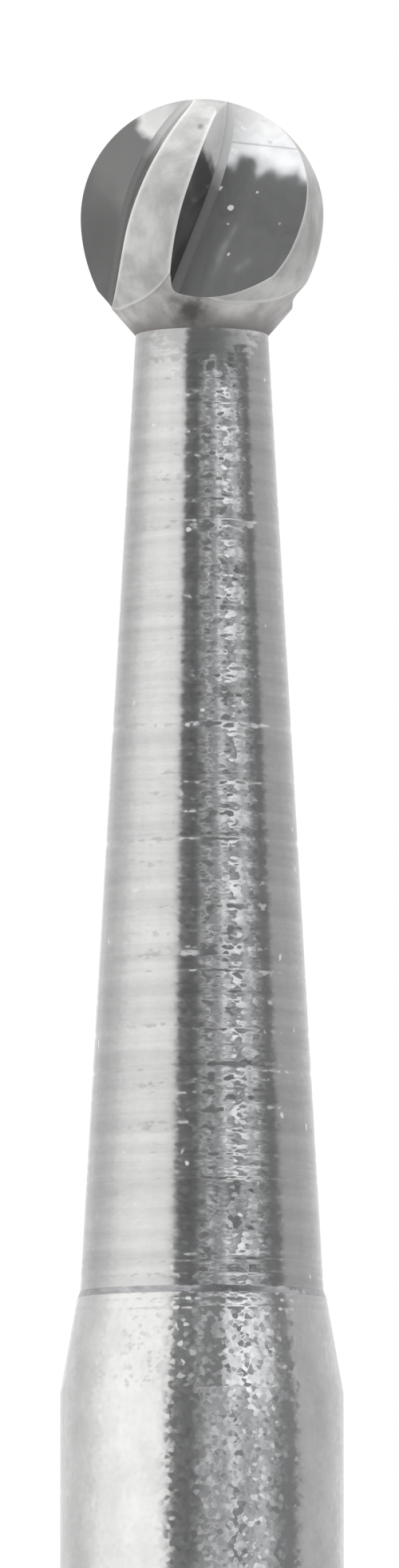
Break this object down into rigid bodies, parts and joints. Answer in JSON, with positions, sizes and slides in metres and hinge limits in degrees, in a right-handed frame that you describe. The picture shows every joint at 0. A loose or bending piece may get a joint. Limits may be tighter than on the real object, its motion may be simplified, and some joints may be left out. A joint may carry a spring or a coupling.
{
  "type": "rotary bur",
  "caption": "Small round rotary bur with a fluted ball head on a slim tapered neck and a plain straight shank, for a high-speed handpiece.",
  "frame": {"origin": "centre of the flat end of the shank", "axes": "+Z along the bur's axis, from the shank's end to the tip of the head; -Y is the side the picture shows"},
  "size_m": [0.0016, 0.0016, 0.019],
  "materials": {
    "carbide": "ground tungsten carbide, satin",
    "steel": "turned and ground stainless steel"
  },
  "bodies": {
    "root": {"cutting_head": "carbide", "shank": "steel"}
  },
  "joints": []
}
